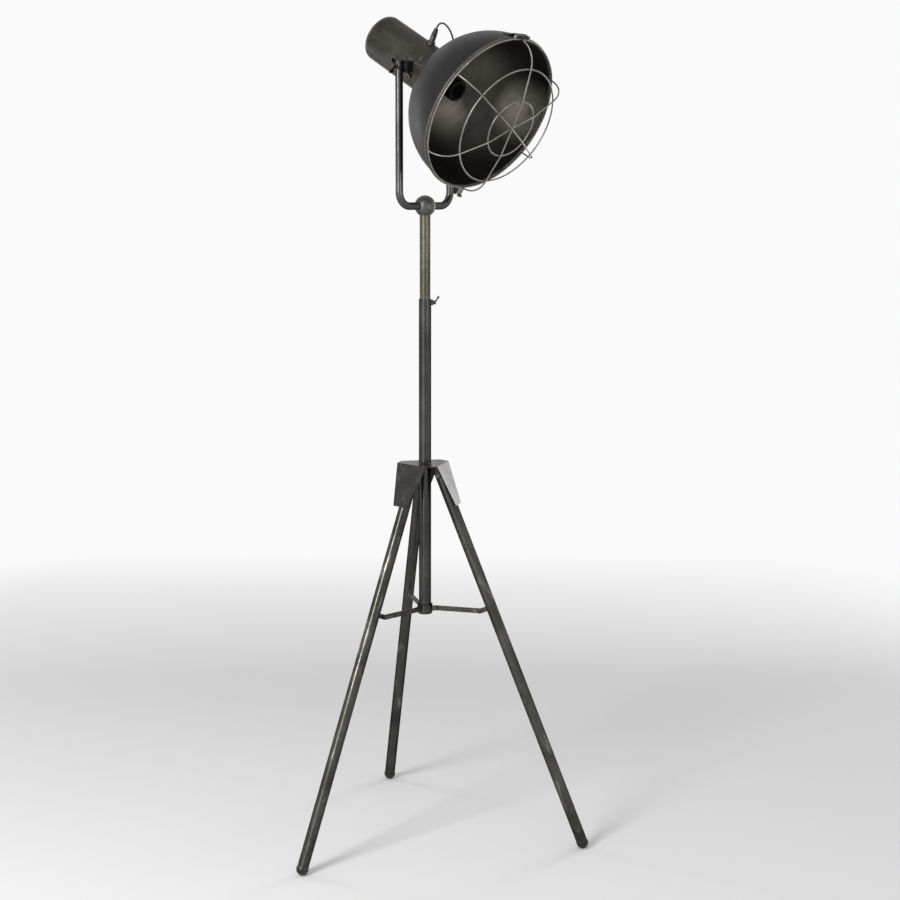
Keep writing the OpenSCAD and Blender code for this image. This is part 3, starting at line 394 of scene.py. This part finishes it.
M = {}
M["mast_low"] = metal(
    "mast_iron", (0.031, 0.031, 0.030), (0.088, 0.087, 0.084), (0.24, 0.22, 0.18),
    metallic=0.92, amount=0.1, patch=10, rough=(0.20, 0.28), edge=0.05, relief=0.12)
M["yoke"] = metal(
    "yoke_iron", (0.044, 0.044, 0.045), (0.120, 0.119, 0.116), (0.28, 0.265, 0.24),
    metallic=0.9, amount=0.3, patch=16, rough=(0.20, 0.31), edge=0.05, relief=0.3)
M["block"] = metal(
    "block_iron", (0.012, 0.012, 0.0122), (0.036, 0.035, 0.033), (0.22, 0.20, 0.17),
    metallic=0.6, amount=0.4, patch=40, rough=(0.32, 0.46), edge=0.7)
M["bronze_mast"] = metal(
    "mast_bronze", (0.048, 0.0435, 0.037), (0.145, 0.132, 0.110), (0.38, 0.345, 0.285),
    metallic=0.85, amount=0.25, patch=18, rough=(0.25, 0.33), edge=0.05, relief=0.08)
M["housing"] = metal(
    "housing_bronze", (0.020, 0.0178, 0.0152), (0.060, 0.053, 0.045), (0.20, 0.176, 0.145),
    metallic=0.62, amount=0.4, patch=15, rough=(0.40, 0.54), direction=AXIS, edge=0.6,
    extra=housing_extra)
M["hub"] = metal(
    "hub_sheet", (0.007, 0.0065, 0.0050), (0.028, 0.0255, 0.020), (0.18, 0.162, 0.13),
    metallic=0.4, amount=0.5, patch=22, rough=(0.28, 0.40), edge=0.9)
M["small"] = metal(
    "worn_fastener", (0.022, 0.020, 0.018), (0.075, 0.066, 0.056), (0.36, 0.32, 0.26),
    metallic=0.7, amount=0.8, patch=60, rough=(0.30, 0.45))
M["ball"] = metal(
    "ball_iron", (0.045, 0.043, 0.038), (0.145, 0.137, 0.118), (0.30, 0.275, 0.225),
    metallic=0.75, amount=0.7, patch=40, rough=(0.34, 0.50), edge=0.7)
M["wire"] = metal(
    "cage_wire", (0.12, 0.114, 0.105), (0.30, 0.28, 0.255), (0.55, 0.52, 0.46),
    metallic=0.9, amount=0.8, patch=30, rough=(0.28, 0.42), direction=ACROSS)
for i, a in enumerate(LEGS, start=1):
    out = Vector((math.cos(a) * math.sin(SPLAY), math.sin(a) * math.sin(SPLAY), -math.cos(SPLAY)))
    M["leg_%d" % i] = metal(
        "leg_iron_%d" % i, (0.024, 0.0235, 0.021), (0.100, 0.096, 0.083), (0.42, 0.40, 0.345),
        metallic=0.85, amount=0.5, patch=12, rough=(0.18, 0.28), direction=out, edge=0.05,
        relief=0.2)
    M["foot_%d" % i] = metal(
        "foot_iron_%d" % i, (0.013, 0.0125, 0.0115), (0.050, 0.047, 0.042), (0.26, 0.245, 0.215),
        metallic=0.75, amount=0.4, patch=50, rough=(0.22, 0.34), direction=out, edge=0.6,
        extra=foot_extra)
M["strip"] = metal(
    "strip_iron", (0.022, 0.021, 0.019), (0.085, 0.080, 0.070), (0.32, 0.29, 0.24),
    metallic=0.7, amount=0.7, patch=40, direction=ACROSS, edge=0.6)
M["dome"] = dome_material()
M["bead"] = metal(
    "rim_bead", (0.030, 0.027, 0.023), (0.10, 0.088, 0.072), (0.34, 0.30, 0.24),
    metallic=0.7, amount=0.8, patch=40, rough=(0.34, 0.48), direction=ACROSS)
M["steel"] = plain("plated_steel", (0.52, 0.52, 0.52), 0.34, 1.0)
M["brass"] = plain("brass", (0.62, 0.44, 0.18), 0.30, 1.0)
# Brass darkened as painted shade, for the socket's shell and contact deep in the holder
M["brass_in_painted_shade"] = plain("socket_brass", (0.040, 0.031, 0.018), 0.46, 0.8)
M["bakelite"] = plain(
    "black_moulding", (0.0030, 0.0029, 0.0028), 0.42, 0.0, bump=0.06, shine=0.06)
M["rubber"] = plain("black_rubber", (0.016, 0.016, 0.016), 0.62, 0.0, bump=0.25)
M["cord"] = plain("cord_sheath", (0.012, 0.012, 0.012), 0.48, 0.0, bump=0.3, scale=900)

# The finish of each node, by its key in M
LOOK = {
    "hub_bracket": "hub", "leg_hinge_bolts": "small", "leg_hinge_nuts": "small",
    "spreader_collar": "mast_low", "collar_rivets": "small",
    "lower_mast": "mast_low", "clamp_boss": "mast_low", "clamp_screw": "small",
    "mast_end_plug": "rubber", "upper_mast": "bronze_mast",
    "knuckle_ball": "ball", "knuckle_screw": "small", "yoke_tube": "yoke", "yoke_cap": "yoke",
    "lead_grommet": "rubber", "pivot_washers": "steel", "wing_screw_left": "small",
    "wing_screw_right": "small",
    "lamp_housing": "housing", "housing_end_cap": "housing", "pivot_blocks": "block",
    "side_screws": "small", "reflector_dome": "dome", "rim_bead": "bead",
    "cable_gland": "ball", "strain_relief": "rubber", "gland_nut": "steel", "lead": "cord",
    "holder_bracket": "steel", "reflector_screws": "small", "lamp_holder": "bakelite",
    "holder_skirt": "bakelite", "holder_nut": "brass", "screw_shell": "brass_in_painted_shade",
    "centre_contact": "brass_in_painted_shade",
    "cage_hoop": "wire", "cage_large_ring": "wire", "cage_small_ring": "wire",
    "cage_spokes": "wire", "cage_hinge_barrel": "block", "dome_rivets": "small",
    "lock_bracket": "block", "lock_screw": "small",
}
for i in (1, 2, 3):
    LOOK.update({"leg_%d" % i: "leg_%d" % i, "leg_tab_%d" % i: "strip",
                 "foot_%d" % i: "foot_%d" % i, "spreader_strip_%d" % i: "strip",
                 "strip_rivet_%d" % i: "small"})


def paint(obj, mat):
    """Give a node one finish, on the object where it has slots already."""
    if obj.material_slots:
        for s in obj.material_slots:
            s.link = "OBJECT"
            s.material = mat
    else:
        obj.data.materials.append(mat)


for name, obj in nodes.items():
    paint(obj, M[LOOK[name]])
lead.data.materials.append(M["cord"])


# ---- floor, world and lamps ----
def make_stage():
    """A round floor of paper with painted shade along the view, that turns into the backdrop
    further out.
    """
    bm = bmesh.new()
    bmesh.ops.create_circle(bm, cap_ends=True, segments=96, radius=FLOOR_RADIUS)
    floor = add("floor", bm, smooth=False)
    floor.location = (0, 0, FLOOR_Z)
    g = Graph("floor_paper")
    away = g.along((0, 0, 0), VIEW_AWAY)
    around = g.distance((0, 0, 0))
    # Painted shade: the paper's colour darkens along the view
    g.link(g.mix(g.ramp(away, *PAPER_TURNS), PAPER_NEAR, PAPER_FAR), g.bsdf.inputs["Base Color"])
    g.bsdf.inputs["Roughness"].default_value = 0.85
    g.bsdf.inputs["Specular IOR Level"].default_value = 0.2
    glow = g.new("ShaderNodeEmission")
    glow.inputs["Color"].default_value = BACKDROP
    blend = g.new("ShaderNodeMixShader")
    g.link(g.most(g.ramp(away, *FADE_AWAY), g.ramp(around, *FADE_AROUND)), blend.inputs[0])
    g.link(g.bsdf.outputs[0], blend.inputs[1])
    g.link(glow.outputs[0], blend.inputs[2])
    g.link(blend.outputs[0], g.out.inputs[0])
    floor.data.materials.append(g.mat)


def make_world():
    """White to the eye and in reflections, and a softer fill on rough surfaces."""
    world = bpy.data.worlds.new("studio")
    bpy.context.scene.world = world
    world.use_nodes = True
    tree = world.node_tree
    back = tree.nodes["Background"]
    back.inputs["Color"].default_value = BACKDROP
    path = tree.nodes.new("ShaderNodeLightPath")
    seen = tree.nodes.new("ShaderNodeMath")
    seen.operation = "MAXIMUM"
    tree.links.new(path.outputs["Is Camera Ray"], seen.inputs[0])
    tree.links.new(path.outputs["Is Glossy Ray"], seen.inputs[1])
    clear = tree.nodes.new("ShaderNodeMath")
    clear.operation = "MAXIMUM"
    tree.links.new(seen.outputs[0], clear.inputs[0])
    tree.links.new(path.outputs["Is Transmission Ray"], clear.inputs[1])
    level = tree.nodes.new("ShaderNodeMapRange")
    level.inputs["To Min"].default_value = WORLD_FILL
    level.inputs["To Max"].default_value = 1.0
    tree.links.new(clear.outputs[0], level.inputs["Value"])
    tree.links.new(level.outputs[0], back.inputs["Strength"])


def make_lamp(name, place, target_z, size, power, spread):
    """A soft box that faces the mast. LAMPS says what the values are."""
    right, away, up = place
    data = bpy.data.lights.new(name, "AREA")
    data.shape = "RECTANGLE"
    data.size, data.size_y = size
    data.energy = power
    data.spread = math.radians(spread)
    lamp = bpy.data.objects.new(name, data)
    lamp.location = VIEW_RIGHT * right + VIEW_AWAY * away + Vector((0, 0, up))
    facing = Vector((0, 0, target_z)) - lamp.location
    lamp.rotation_euler = facing.to_track_quat("-Z", "Y").to_euler()
    bpy.context.scene.collection.objects.link(lamp)


make_stage()
make_world()
for values in LAMPS:
    make_lamp(*values)

bpy.context.scene.view_settings.view_transform = "Standard"
